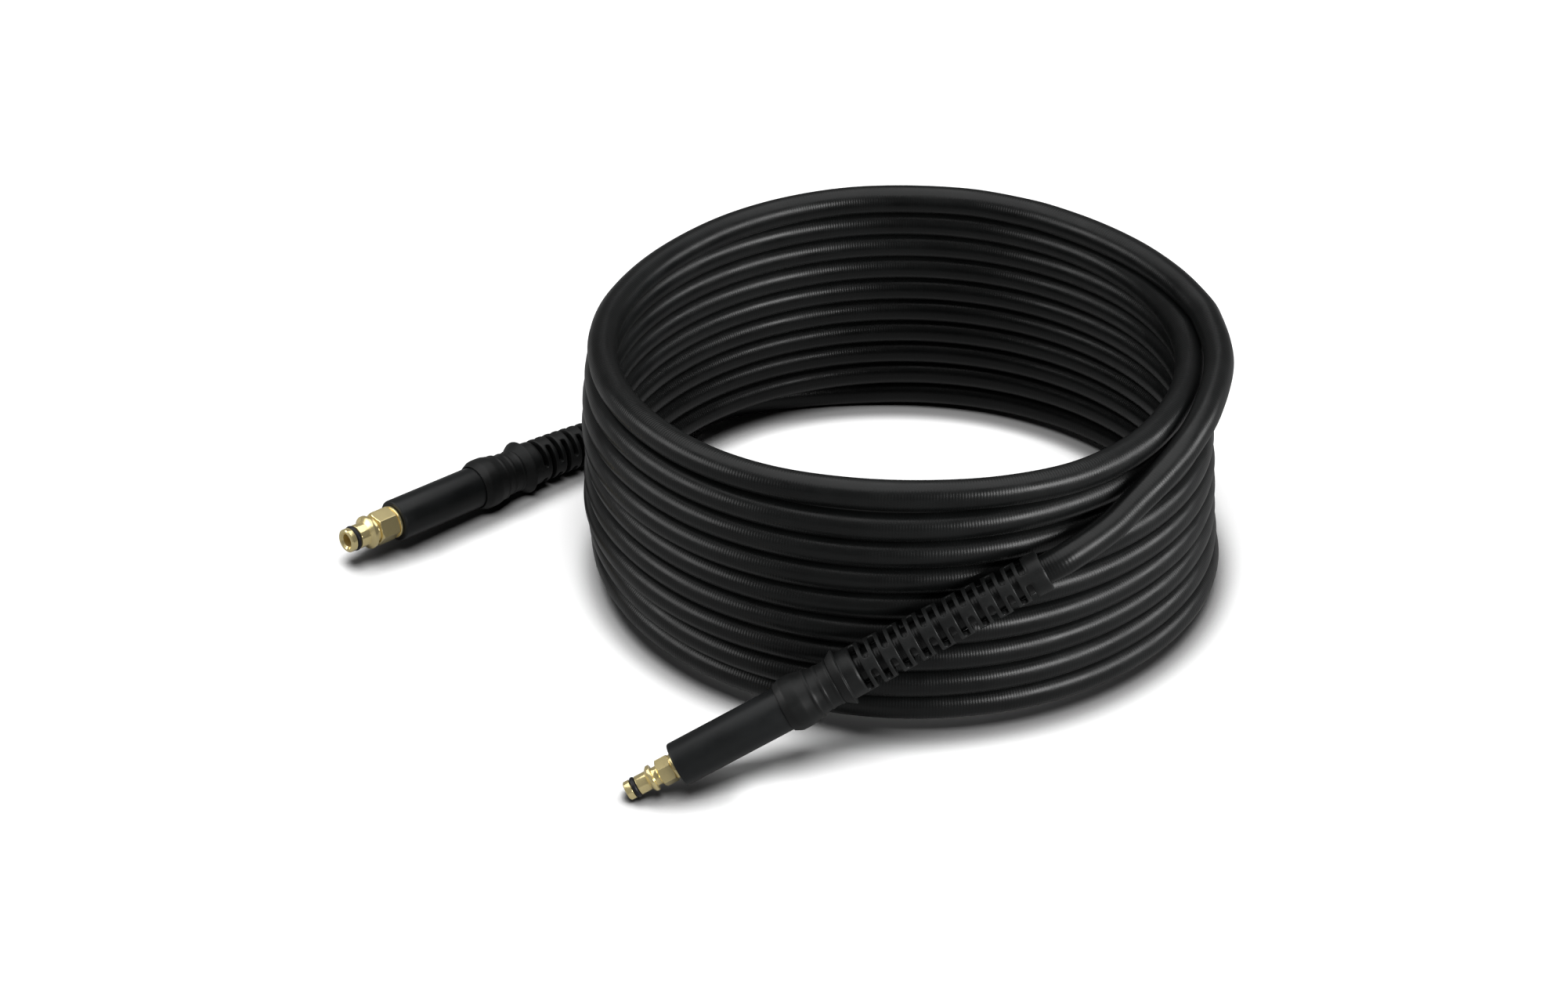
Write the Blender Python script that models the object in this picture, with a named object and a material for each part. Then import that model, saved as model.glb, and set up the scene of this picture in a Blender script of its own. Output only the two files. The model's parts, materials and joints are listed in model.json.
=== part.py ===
"""Pressure washer hose: a rubber hose in an upright coil with a brass plug-in fitting on each end.

Metres, +Z up. The floor is z = 0. Everything is laid out about the coil's axis, and the whole part is then
shifted so that the middle of its base lies at the origin.
"""
import bpy
import bmesh
import math
from mathutils import Euler, Vector, geometry

MM = 0.001
CLEARANCE = 0.3 * MM
STEP_RUN = 0.1 * MM
MERGE_DISTANCE = 0.001 * MM

# Hose and coil
HOSE_DIAMETER = 12.4 * MM
HOSE_RADIUS = HOSE_DIAMETER / 2
TURN_GAP = 0.1 * MM
TURN_PITCH = HOSE_DIAMETER + TURN_GAP
TURNS = 9
COIL_BASE_RADIUS = 130.4 * MM
COIL_TOP_RADIUS = 123.9 * MM
COIL_SEGMENTS = 36
COIL_FOOT_HALF_WIDTH = 1.6 * MM
STRAND_ANGLES = (-60, -20, 20, 60)
TUBE_POINT_SPACING = 14 * MM
TUBE_BEVEL_RESOLUTION = 4
STRAIGHT_RUN_OUT = 9 * MM

# Where each fitting's nose stands from the coil's axis, and which way the fitting points from its nose.
# The front fitting leans past the coil's side, so its nose lies far enough in front of the top turn and of
# the bottom turn. The rear nose keeps its distance to the left of the bottom turn.
TOP_TURN_SETOFF = 44.5 * MM
BOTTOM_TURN_SETOFF = 38.0 * MM
FRONT_REACH = max(COIL_TOP_RADIUS + TOP_TURN_SETOFF, COIL_BASE_RADIUS + BOTTOM_TURN_SETOFF)
FRONT_NOSE = Vector((-110.0 * MM, -FRONT_REACH, 4.0 * MM))
FRONT_HEADING = math.radians(12.0)
FRONT_RISE = math.radians(26.0)
FRONT_ROLL = math.radians(-36.0)
REAR_NOSE_SETOFF = 105.3 * MM
REAR_NOSE = Vector((-COIL_BASE_RADIUS - REAR_NOSE_SETOFF, -4.7 * MM, 16.1 * MM))
REAR_HEADING = math.radians(43.2)
REAR_RISE = math.radians(-2.3)
REAR_ROLL = math.radians(-82.0)

# Hand-chosen route of the front end, from the top of the coil to the bend protector: angle about the
# coil's axis in degrees, then millimetres out from the top turn and down from where the hose lies on it
FRONT_ROUTE = (
    (130, -0.3, 0.0),
    (110, -0.1, 0.0),
    (90, 0.3, 0.0),
    (75, 0.9, 0.0),
    (60, 1.6, 0.0),
    (40, 3.1, 0.2),
    (20, 5.8, 1.3),
    (5, 8.1, 2.8),
    (-10, 9.7, 4.4),
    (-25, 11.7, 6.0),
    (-36, 14.5, 9.2),
    (-43.7, 15.5, 14.5),
    (-50.3, 16.1, 20.0),
    (-56, 18.4, 24.2),
)

# Hand-chosen route of the rear end, from the bend protector to the foot of the coil: angle about the
# coil's axis in degrees, then millimetres out from the bottom turn and up from the floor to its underside
REAR_ROUTE = (
    (120.4, 27.7, 0.9),
    (114.5, 25.0, 0.5),
    (107.8, 20.2, 0.3),
    (98.9, 12.3, 0.3),
)

# Plug-in nipple, measured back from its nose along its own axis
NOSE_LENGTH = 2.7 * MM
GROOVE_LENGTH = 2.4 * MM
BARREL_LENGTH = 4.6 * MM
FLANGE_CONE_LENGTH = 1.3 * MM
FLANGE_RIM_LENGTH = 1.3 * MM
NECK_LENGTH = 2.6 * MM
HEXAGON_LENGTH = 6.1 * MM
SHOULDER_LENGTH = 1.1 * MM
SHANK_LENGTH = 28.0 * MM
SHANK_RADIUS = 5.2 * MM
EDGE_BREAK = 0.4 * MM
SEAL_STANDOFF = 0.15 * MM
SEAL_SEGMENTS = 8
FITTING_SEGMENTS = 24
GROOVE_END = NOSE_LENGTH + GROOVE_LENGTH
FLANGE_CONE_START = GROOVE_END + BARREL_LENGTH
FLANGE_RIM_START = FLANGE_CONE_START + FLANGE_CONE_LENGTH
FLANGE_END = FLANGE_RIM_START + FLANGE_RIM_LENGTH
HEXAGON_START = FLANGE_END + NECK_LENGTH
HEXAGON_END = HEXAGON_START + HEXAGON_LENGTH
SHOULDER_END = HEXAGON_END + SHOULDER_LENGTH

# The two nipples' own radii: the front one is the slimmer of the two
FRONT_NIPPLE = {
    "nose": 3.95 * MM,
    "groove": 2.2 * MM,
    "seal_wire": 1.0 * MM,
    "barrel": 3.95 * MM,
    "flange": 5.5 * MM,
    "neck": 3.85 * MM,
    "across_flats": 10.2 * MM,
    "flat_turn": math.radians(15),
    "shoulder": 5.3 * MM,
    "bore": 1.5 * MM,
}
REAR_NIPPLE = {
    "nose": 5.2 * MM,
    "groove": 3.55 * MM,
    "seal_wire": 0.95 * MM,
    "barrel": 5.3 * MM,
    "flange": 7.4 * MM,
    "neck": 5.1 * MM,
    "across_flats": 13.0 * MM,
    "flat_turn": 0.0,
    "shoulder": 7.1 * MM,
    "bore": 2.9 * MM,
}

# Grip sleeve
SLEEVE_FRONT = SHOULDER_END + CLEARANCE
SLEEVE_LENGTH = 57.3 * MM
SLEEVE_END = SLEEVE_FRONT + SLEEVE_LENGTH
SLEEVE_WALL = 2.7 * MM
SLEEVE_BORE_RADIUS = HOSE_RADIUS + CLEARANCE
SLEEVE_RADIUS = SLEEVE_BORE_RADIUS + SLEEVE_WALL
SLEEVE_LIP_LENGTH = 3.0 * MM
SLEEVE_EDGE = 0.4 * MM

# Bend protector: walls are measured from the socket on the sleeve, or from the bore on the hose
BOOT_OVERLAP = 9.3 * MM
BOOT_FRONT = SLEEVE_END - BOOT_OVERLAP
SOCKET_RADIUS = SLEEVE_RADIUS + CLEARANCE
SOCKET_END = SLEEVE_END + CLEARANCE
BOOT_BORE_RADIUS = HOSE_RADIUS + CLEARANCE
LEAD_WALL = 0.4 * MM
COLLAR_WALL = 1.8 * MM
WAIST_WALL = 2.75 * MM
FLARE_WALL = 5.5 * MM
SLOTTED_WALL = 3.5 * MM
END_RING_WALL = 1.8 * MM
COLLAR_RAMP = 3.1 * MM
COLLAR_LENGTH = 5.3 * MM
COLLAR_SLOPE = 7.6 * MM
WAIST_LENGTH = 6.5 * MM
FLARE_LENGTH = 4.5 * MM
FLARE_STEP = 0.3 * MM
PLAIN_LENGTH = 6.0 * MM
SLOT_WIDTH = 2.7 * MM
SLOT_PITCH = 4.3 * MM
SLOT_ROWS = 18
END_RING_LENGTH = 7.0 * MM
BOOT_SEGMENTS = 16
SLOT_SEGMENTS = 6
COLLAR_START = BOOT_FRONT + COLLAR_RAMP
COLLAR_END = COLLAR_START + COLLAR_LENGTH
WAIST_START = COLLAR_END + COLLAR_SLOPE
FLARE_START = WAIST_START + WAIST_LENGTH
FLARE_END = FLARE_START + FLARE_LENGTH
TAPER_START = FLARE_END + FLARE_STEP
FIRST_SLOT = TAPER_START + PLAIN_LENGTH
END_RING_START = FIRST_SLOT + SLOT_PITCH * (SLOT_ROWS - 1) + SLOT_WIDTH
BOOT_END = END_RING_START + END_RING_LENGTH


def clear_scene():
    for old in list(bpy.data.objects):
        bpy.data.objects.remove(old, do_unlink=True)


def make_material(name, color, roughness, metallic=0.0):
    material = bpy.data.materials.new(name)
    material.use_nodes = True
    shader = material.node_tree.nodes["Principled BSDF"]
    shader.inputs["Base Color"].default_value = (*color, 1.0)
    shader.inputs["Roughness"].default_value = roughness
    shader.inputs["Metallic"].default_value = metallic
    material.diffuse_color = (*color, 1.0)
    return material


def make_empty(name, location, rotation, parent=None):
    empty = bpy.data.objects.new(name, None)
    bpy.context.scene.collection.objects.link(empty)
    empty.location = location
    empty.rotation_euler = rotation
    empty.parent = parent
    return empty


def link_mesh(name, bm, material, parent, smooth_angle=40):
    bmesh.ops.remove_doubles(bm, verts=bm.verts, dist=MERGE_DISTANCE)
    bmesh.ops.recalc_face_normals(bm, faces=bm.faces)
    mesh = bpy.data.meshes.new(name)
    bm.to_mesh(mesh)
    bm.free()
    mesh.shade_smooth()
    mesh.set_sharp_from_angle(angle=math.radians(smooth_angle))
    mesh.materials.append(material)
    piece = bpy.data.objects.new(name, mesh)
    bpy.context.scene.collection.objects.link(piece)
    piece.parent = parent
    return piece


def spin_outline(points, axis, segments):
    """Spin a closed outline all the way round an axis through the origin."""
    bm = bmesh.new()
    corners = [bm.verts.new(point) for point in points]
    for first, second in zip(corners, corners[1:] + corners[:1]):
        bm.edges.new((first, second))
    bmesh.ops.spin(
        bm,
        geom=bm.verts[:] + bm.edges[:],
        cent=(0, 0, 0),
        axis=axis,
        angle=math.tau,
        steps=segments,
        use_merge=True,
    )
    bmesh.ops.remove_doubles(bm, verts=bm.verts, dist=MERGE_DISTANCE)
    return bm


def turn_along_x(outer, inner, segments):
    """Spin a wall about local X. Outer and inner are lists of (distance from the nose, radius)."""
    outline = outer + inner[::-1]
    return spin_outline([(x, radius, 0) for x, radius in outline], (1, 0, 0), segments)


def turn_radius(index):
    """Radius of one turn of the coil, counted from the floor."""
    share = index / (TURNS - 1)
    return COIL_BASE_RADIUS + (COIL_TOP_RADIUS - COIL_BASE_RADIUS) * share


def make_coil(material, parent):
    """The turns that lie on one another, as one turned ring with a groove between each pair of turns."""
    outside = []
    inside = []
    for index in range(TURNS):
        middle = TURN_PITCH * (index + 0.5)
        for angle in STRAND_ANGLES:
            reach = HOSE_RADIUS * math.cos(math.radians(angle))
            height = middle + HOSE_RADIUS * math.sin(math.radians(angle))
            outside.append((turn_radius(index) + reach, 0, height))
            inside.append((turn_radius(index) - reach, 0, height))
    foot = [(COIL_BASE_RADIUS + side * COIL_FOOT_HALF_WIDTH, 0, 0) for side in (-1, 1)]
    top_height = TURN_PITCH * TURNS
    top = [(COIL_TOP_RADIUS + side * COIL_FOOT_HALF_WIDTH, 0, top_height) for side in (1, -1)]
    bm = spin_outline(foot + outside + top + inside[::-1], (0, 0, 1), COIL_SEGMENTS)
    return link_mesh("hose_coil", bm, material, parent)


def fitting_point(nose, heading, rise, distance):
    """A point on a fitting's axis, this far back from its nose."""
    direction = Euler((0, -rise, heading)).to_matrix() @ Vector((1, 0, 0))
    return nose + direction * distance


def smooth_route(points):
    """Read a smooth curve through the points at nearly even steps."""
    ends = [points[0] * 2 - points[1]] + points + [points[-1] * 2 - points[-2]]
    route = []
    for before, start, end, after in zip(ends, ends[1:], ends[2:], ends[3:]):
        steps = max(1, round((end - start).length / TUBE_POINT_SPACING))
        handle_out = start + (end - before) / 6
        handle_in = end - (after - start) / 6
        route += geometry.interpolate_bezier(start, handle_out, handle_in, end, steps + 1)[:-1]
    return route + [points[-1]]


def make_tube(name, points, material, parent):
    curve = bpy.data.curves.new(name, "CURVE")
    curve.dimensions = "3D"
    curve.bevel_depth = HOSE_RADIUS
    curve.bevel_resolution = TUBE_BEVEL_RESOLUTION
    curve.use_fill_caps = True
    route = smooth_route(points)
    spline = curve.splines.new("POLY")
    spline.points.add(len(route) - 1)
    for point, place in zip(spline.points, route):
        point.co = (*place, 1.0)
    curve.materials.append(material)
    tube = bpy.data.objects.new(name, curve)
    bpy.context.scene.collection.objects.link(tube)
    tube.parent = parent
    return tube


def lay_point(angle, reach, height):
    """A point beside or on the coil: angle about its axis in degrees, reach from the axis and height."""
    turn = math.radians(angle)
    return Vector((reach * math.cos(turn), reach * math.sin(turn), height))


def make_tails(material, parent):
    """The two ends of the hose, each from the coil to the shank inside its grip sleeve."""
    on_coil = TURN_PITCH * TURNS + CLEARANCE + HOSE_RADIUS
    hose_start = SLEEVE_FRONT + SHANK_LENGTH + CLEARANCE
    inside = [hose_start, (hose_start + BOOT_END) / 2, BOOT_END, BOOT_END + STRAIGHT_RUN_OUT]
    front_inside = [fitting_point(FRONT_NOSE, FRONT_HEADING, FRONT_RISE, s) for s in inside]
    front_lay = []
    for angle, out, down in FRONT_ROUTE:
        front_lay.append(lay_point(angle, COIL_TOP_RADIUS + out * MM, on_coil - down * MM))
    make_tube("hose_tail_front", front_lay + front_inside[::-1], material, parent)
    rear_inside = [fitting_point(REAR_NOSE, REAR_HEADING, REAR_RISE, s) for s in inside]
    rear_lay = []
    for angle, out, up in REAR_ROUTE:
        rear_lay.append(lay_point(angle, COIL_BASE_RADIUS + out * MM, HOSE_RADIUS + up * MM))
    make_tube("hose_tail_rear", rear_inside + rear_lay, material, parent)


def shape_hexagon(bm, across_flats, flat_turn):
    """Draw the round stock between the hexagon's ends out to six flat sides."""
    for vertex in bm.verts:
        if not HEXAGON_START + STEP_RUN / 2 < vertex.co.x < HEXAGON_END - STEP_RUN / 2:
            continue
        reach = vertex.co.yz.length
        if reach < across_flats / 2:
            continue
        turn = math.atan2(vertex.co.z, vertex.co.y) - flat_turn
        off_flat = (turn + math.pi / 6) % (math.pi / 3) - math.pi / 6
        flat_reach = across_flats / 2 / math.cos(off_flat)
        vertex.co.y *= flat_reach / reach
        vertex.co.z *= flat_reach / reach


def make_nipple(name, sizes, material, parent):
    """A turned brass nipple: nose, O-ring groove, barrel, flange, neck, hexagon and hidden shank."""
    corner = sizes["across_flats"] / 2 / math.cos(math.pi / 6)
    shank_end = SLEEVE_FRONT + SHANK_LENGTH
    outer = [
        (0, sizes["nose"] - EDGE_BREAK),
        (EDGE_BREAK, sizes["nose"]),
        (NOSE_LENGTH, sizes["nose"]),
        (NOSE_LENGTH + STEP_RUN, sizes["groove"]),
        (GROOVE_END - STEP_RUN, sizes["groove"]),
        (GROOVE_END, sizes["barrel"]),
        (FLANGE_CONE_START, sizes["barrel"]),
        (FLANGE_RIM_START, sizes["flange"]),
        (FLANGE_END, sizes["flange"]),
        (FLANGE_END + STEP_RUN, sizes["neck"]),
        (HEXAGON_START, sizes["neck"]),
        (HEXAGON_START + STEP_RUN, corner),
        (HEXAGON_END - STEP_RUN, corner),
        (HEXAGON_END, sizes["shoulder"]),
        (SHOULDER_END - STEP_RUN, sizes["shoulder"]),
        (SHOULDER_END, SHANK_RADIUS),
        (shank_end, SHANK_RADIUS),
    ]
    inner = [
        (0, sizes["bore"] + EDGE_BREAK),
        (EDGE_BREAK, sizes["bore"]),
        (shank_end, sizes["bore"]),
    ]
    bm = turn_along_x(outer, inner, FITTING_SEGMENTS)
    shape_hexagon(bm, sizes["across_flats"], sizes["flat_turn"])
    return link_mesh(name, bm, material, parent)


def make_seal(name, sizes, material, parent):
    """The O-ring, seated in the middle of its groove."""
    wire = sizes["seal_wire"]
    middle_x = NOSE_LENGTH + GROOVE_LENGTH / 2
    middle_radius = sizes["groove"] + SEAL_STANDOFF + wire
    points = []
    for step in range(SEAL_SEGMENTS):
        turn = math.tau * (step + 0.5) / SEAL_SEGMENTS
        points.append((middle_x + wire * math.cos(turn), middle_radius + wire * math.sin(turn), 0))
    bm = spin_outline(points, (1, 0, 0), FITTING_SEGMENTS)
    return link_mesh(name, bm, material, parent, smooth_angle=60)


def make_sleeve(name, material, parent):
    """The smooth grip sleeve, open behind, with a lip that closes on the nipple's shank."""
    outer = [
        (SLEEVE_FRONT, SLEEVE_RADIUS - SLEEVE_EDGE),
        (SLEEVE_FRONT + SLEEVE_EDGE, SLEEVE_RADIUS),
        (SLEEVE_END, SLEEVE_RADIUS),
    ]
    lip_end = SLEEVE_FRONT + SLEEVE_LIP_LENGTH
    inner = [
        (SLEEVE_FRONT, SHANK_RADIUS + CLEARANCE),
        (lip_end, SHANK_RADIUS + CLEARANCE),
        (lip_end + STEP_RUN, SLEEVE_BORE_RADIUS),
        (SLEEVE_END, SLEEVE_BORE_RADIUS),
    ]
    bm = turn_along_x(outer, inner, FITTING_SEGMENTS)
    return link_mesh(name, bm, material, parent)


def slotted_radius(distance):
    """Outer radius of the tapered part of the bend protector, this far back from the nose."""
    share = (distance - TAPER_START) / (END_RING_START - TAPER_START)
    return BOOT_BORE_RADIUS + SLOTTED_WALL + (END_RING_WALL - SLOTTED_WALL) * share


def slot_edges():
    """Front and back edge of each row of slots, measured back from the nose."""
    fronts = [FIRST_SLOT + SLOT_PITCH * row for row in range(SLOT_ROWS)]
    return [(front, front + SLOT_WIDTH) for front in fronts]


def cut_slot(bm, front, back, middle_turn):
    """Open one slot through the wall: take out both skins and join their edges."""
    half = math.pi * SLOT_SEGMENTS / BOOT_SEGMENTS
    opened = []
    for face in bm.faces:
        center = face.calc_center_median()
        turn = math.atan2(center.z, center.y)
        off_middle = (turn - middle_turn + math.pi) % math.tau - math.pi
        if front < center.x < back and abs(off_middle) < half:
            opened.append(face)
    inside = set(opened)
    rim = []
    for face in opened:
        for edge in face.edges:
            if any(other not in inside for other in edge.link_faces):
                rim.append(edge)
    bmesh.ops.delete(bm, geom=opened, context="FACES")
    bmesh.ops.bridge_loops(bm, edges=rim)


def make_boot(name, material, parent):
    """The bend protector: socket and collar in front, then rows of slots that alternate by a quarter turn."""
    edges = [edge for pair in slot_edges() for edge in pair]
    outer = [
        (BOOT_FRONT, SOCKET_RADIUS + LEAD_WALL),
        (COLLAR_START, SOCKET_RADIUS + COLLAR_WALL),
        (COLLAR_END, SOCKET_RADIUS + COLLAR_WALL),
        (WAIST_START, BOOT_BORE_RADIUS + WAIST_WALL),
        (FLARE_START, BOOT_BORE_RADIUS + WAIST_WALL),
        (FLARE_END, BOOT_BORE_RADIUS + FLARE_WALL),
        (TAPER_START, BOOT_BORE_RADIUS + SLOTTED_WALL),
    ]
    outer += [(x, slotted_radius(x)) for x in edges]
    outer.append((BOOT_END, BOOT_BORE_RADIUS + END_RING_WALL))
    inner = [
        (BOOT_FRONT, SOCKET_RADIUS),
        (SOCKET_END, SOCKET_RADIUS),
        (SOCKET_END + STEP_RUN, BOOT_BORE_RADIUS),
    ]
    inner += [(x, BOOT_BORE_RADIUS) for x in edges]
    inner.append((BOOT_END, BOOT_BORE_RADIUS))
    bm = turn_along_x(outer, inner, BOOT_SEGMENTS)
    for row, (front, back) in enumerate(slot_edges()):
        quarter = math.pi / 2 * (row % 2)
        for side in (0, math.pi):
            cut_slot(bm, front, back, quarter + side)
    return link_mesh(name, bm, material, parent)


def make_fitting(prefix, sizes, nose, heading, rise, roll, materials, parent):
    seat = make_empty(f"{prefix}_fitting", nose, (roll, -rise, heading), parent)
    make_nipple(f"{prefix}_nipple", sizes, materials["brass"], seat)
    make_seal(f"{prefix}_o_ring", sizes, materials["seal_rubber"], seat)
    make_sleeve(f"{prefix}_grip_sleeve", materials["grip_plastic"], seat)
    make_boot(f"{prefix}_bend_protector", materials["boot_plastic"], seat)


def center_on_floor(frame):
    """Shift the whole part so that the middle of its outline from above lies at the origin."""
    bpy.context.view_layer.update()
    depsgraph = bpy.context.evaluated_depsgraph_get()
    places = []
    for piece in bpy.data.objects:
        if piece.type == "EMPTY":
            continue
        evaluated = piece.evaluated_get(depsgraph)
        mesh = evaluated.to_mesh()
        places += [piece.matrix_world @ vertex.co for vertex in mesh.vertices]
        evaluated.to_mesh_clear()
    middle_x = (min(p.x for p in places) + max(p.x for p in places)) / 2
    middle_y = (min(p.y for p in places) + max(p.y for p in places)) / 2
    frame.location = (-middle_x, -middle_y, 0)
    bpy.context.view_layer.update()


def main():
    clear_scene()
    materials = {
        "hose_rubber": make_material("hose_rubber", (0.022, 0.024, 0.024), 0.5),
        "boot_plastic": make_material("boot_plastic", (0.018, 0.019, 0.019), 0.55),
        "grip_plastic": make_material("grip_plastic", (0.025, 0.027, 0.028), 0.45),
        "seal_rubber": make_material("seal_rubber", (0.02, 0.02, 0.022), 0.4),
        "brass": make_material("brass", (0.78, 0.6, 0.26), 0.25, 1.0),
    }
    frame = make_empty("hose_frame", (0, 0, 0), (0, 0, 0))
    make_coil(materials["hose_rubber"], frame)
    make_tails(materials["hose_rubber"], frame)
    make_fitting("front", FRONT_NIPPLE, FRONT_NOSE, FRONT_HEADING, FRONT_RISE, FRONT_ROLL, materials, frame)
    make_fitting("rear", REAR_NIPPLE, REAR_NOSE, REAR_HEADING, REAR_RISE, REAR_ROLL, materials, frame)
    center_on_floor(frame)


main()
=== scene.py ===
"""Looks of the pressure washer hose: its hose, bend protectors, grip sleeves, nipples, O-rings and stage.

Metres, +Z up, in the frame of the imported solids. The hose is laid out about the axis of its coil, and each
fitting along its own axis from its nose, and every piece is then put in place in its mesh.
"""
import json
import math

import bmesh
import bpy
from mathutils import Euler, Matrix, Vector, geometry


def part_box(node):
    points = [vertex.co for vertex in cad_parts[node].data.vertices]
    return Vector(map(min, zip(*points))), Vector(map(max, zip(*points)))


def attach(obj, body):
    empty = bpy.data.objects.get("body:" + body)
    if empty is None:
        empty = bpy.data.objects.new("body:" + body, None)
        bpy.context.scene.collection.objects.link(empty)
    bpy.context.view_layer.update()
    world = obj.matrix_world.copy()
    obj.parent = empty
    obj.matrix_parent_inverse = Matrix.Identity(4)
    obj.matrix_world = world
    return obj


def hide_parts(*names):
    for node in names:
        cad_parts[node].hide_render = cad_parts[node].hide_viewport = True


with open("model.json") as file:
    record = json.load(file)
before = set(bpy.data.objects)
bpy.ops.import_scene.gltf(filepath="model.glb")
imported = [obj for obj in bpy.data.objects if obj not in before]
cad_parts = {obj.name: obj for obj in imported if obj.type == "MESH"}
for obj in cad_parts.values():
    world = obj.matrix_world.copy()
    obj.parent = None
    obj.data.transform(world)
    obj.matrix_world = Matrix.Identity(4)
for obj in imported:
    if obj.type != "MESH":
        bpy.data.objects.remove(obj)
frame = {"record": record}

bl_info = {
    "name": "Coiled Pressure Washer Hose",
    "version": (1, 0, 0),
    "blender": (4, 5, 0),
    "location": "3D View > Sidebar > Hose",
    "description": "Builds a coiled high-pressure hose with its fittings and a plain studio around it",
    "category": "Add Mesh",
}

MM = 0.001
BODY = "root"
PHOTO_WIDTH = 2002
MERGE_DISTANCE = 0.001 * MM
UV_UNIT = 10.0 * MM
ENDS = ("front", "rear")

# The coil as the hose lies in it: turns are counted from the foot, where the first turn starts at this angle
FIRST_ANGLE = 130.0
FULL_TURNS = 9
POINTS_PER_TURN = 24
COIL_JOIN_TURNS = 0.13
COIL_LEAVE_TURNS = 9.1
OVAL_ANGLE = 60.7
TILT_ANGLE = -100.4
LEAN = (-0.9 * MM, -6.9 * MM)
POINT_SPACING = 4.0 * MM
HOSE_BEVEL_RESOLUTION = 6
POINTS_PER_SPAN = 17

# Black rubber and plastic mirror less than clear plastic does, which is 0.5 on this scale
SOFT_SPECULAR = 0.28

# How light the floor is to the camera, deep in its painted contact shadow, and to all that it lights in turn
FLOOR_SEEN = 0.12
FLOOR_SHADED = 0.025
FLOOR_MIRRORED = 0.03

# How open the floor is where the painted contact shadow is deepest, and where it has faded out
CONTACT_OPENNESS = (0.5, 0.97)
CONTACT_SAMPLES = 32

# The floor's own light shines straight down before it is turned, and then comes from the camera's side
FLOOR_LIGHT_TURN = (math.radians(23), 0, 0)

# Soft lights: setting that holds the brightness, place from the foot of the coil's axis, width and height
SOFT_LIGHTS = (
    ("overhead_light", (-0.1, 0.15, 1.6), (2.2, 2.2)),
    ("front_right_light", (0.86, -0.68, 0.46), (0.8, 0.35)),
    ("right_light", (1.1, 0.05, 0.4), (0.6, 0.35)),
    ("left_light", (-1.1, -0.2, 0.46), (1.0, 0.4)),
)
LIGHT_TARGET = (0, 0, 0.05)

# Places where a turn lies out of the even coil: turns from the foot, spread in turns, and how far out and
# up in millimetres
UNEVEN_PLACES = (
    (0.20, 0.15, 1.2, -0.3),
    (0.40, 0.12, 2.6, 0.0),
    (0.77, 0.2, -4.5, 0.0),
    (1.38, 0.12, 1.8, 0.0),
    (1.80, 0.1, -2.8, 0.0),
    (2.38, 0.12, 1.5, 0.0),
    (3.38, 0.12, 1.7, 0.0),
    (4.38, 0.12, 1.7, 0.0),
    (4.56, 0.06, -1.2, 0.0),
    (5.38, 0.1, 1.5, 0.0),
    (5.56, 0.06, -1.2, 0.0),
    (5.78, 0.12, 2.0, 0.0),
    (6.78, 0.12, 2.0, 0.0),
    (7.76, 0.1, 1.6, 0.0),
    (8.31, 0.1, -2.0, -0.2),
    (8.42, 0.06, -0.8, 0.0),
    (8.50, 0.05, 1.5, -0.5),
    (8.62, 0.06, -1.5, 0.8),
    (8.96, 0.07, -2.6, -0.3),
)

# Route of the front end from the top of the coil to the bend protector: angle about the coil's axis in
# degrees, reach from that axis and height in millimetres
FRONT_ROUTE = (
    (75, 116.5, 118.3),
    (60, 116.6, 118.9),
    (50, 116.8, 119.2),
    (40, 117.9, 119.4),
    (30, 120.1, 119.4),
    (20, 123.1, 119.1),
    (12, 126.0, 118.6),
    (5, 128.8, 117.8),
    (-10, 132.7, 116.3),
    (-25, 135.8, 113.9),
    (-36, 138.6, 110.0),
    (-43.7, 139.4, 104.5),
    (-50.3, 140.0, 99.0),
    (-56, 142.3, 94.8),
)

# Route of the rear end from the bend protector to the foot of the coil, given in the same way
REAR_ROUTE = (
    (119, 144.8, 6.9),
    (110, 142.4, 6.5),
    (98, 140.1, 6.4),
)

# Plug-in nipple, measured back from its nose along its own axis
NOSE_LENGTH = 2.7 * MM
GROOVE_LENGTH = 2.4 * MM
BARREL_LENGTH = 4.6 * MM
FLANGE_CONE_LENGTH = 1.3 * MM
FLANGE_RIM_LENGTH = 1.3 * MM
NECK_LENGTH = 2.6 * MM
SHOULDER_LENGTH = 1.1 * MM
# The front nipple's shoulder ends here, and the ends of both shanks and both sleeves are counted from it
SHANK_START = 22.1 * MM
SHANK_LENGTH = 28.0 * MM
SHANK_RADIUS = 5.2 * MM
NOSE_CHAMFER = 0.45 * MM
EDGE_ROUND = 0.18 * MM
ROOT_ROUND = 0.5 * MM
HEXAGON_CHAMFER_SLOPE = math.tan(math.radians(60))
HEXAGON_CHAMFER_FACE = 0.965
HEXAGON_CHAMFER_RINGS = 6
HEXAGON_CHAMFER_LENGTH = 0.7 * MM
HEXAGON_STEP_SHARE = 0.8
HEXAGON_STOCK_SHARE = 1.05
NIPPLE_SEGMENTS = 96
SEAL_STANDOFF = 0.15 * MM
SEAL_SEGMENTS = 16
GROOVE_END = NOSE_LENGTH + GROOVE_LENGTH
FLANGE_CONE_START = GROOVE_END + BARREL_LENGTH
FLANGE_RIM_START = FLANGE_CONE_START + FLANGE_CONE_LENGTH
FLANGE_END = FLANGE_RIM_START + FLANGE_RIM_LENGTH
HEXAGON_START = FLANGE_END + NECK_LENGTH
SEAL_MIDDLE = NOSE_LENGTH + GROOVE_LENGTH / 2

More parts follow.
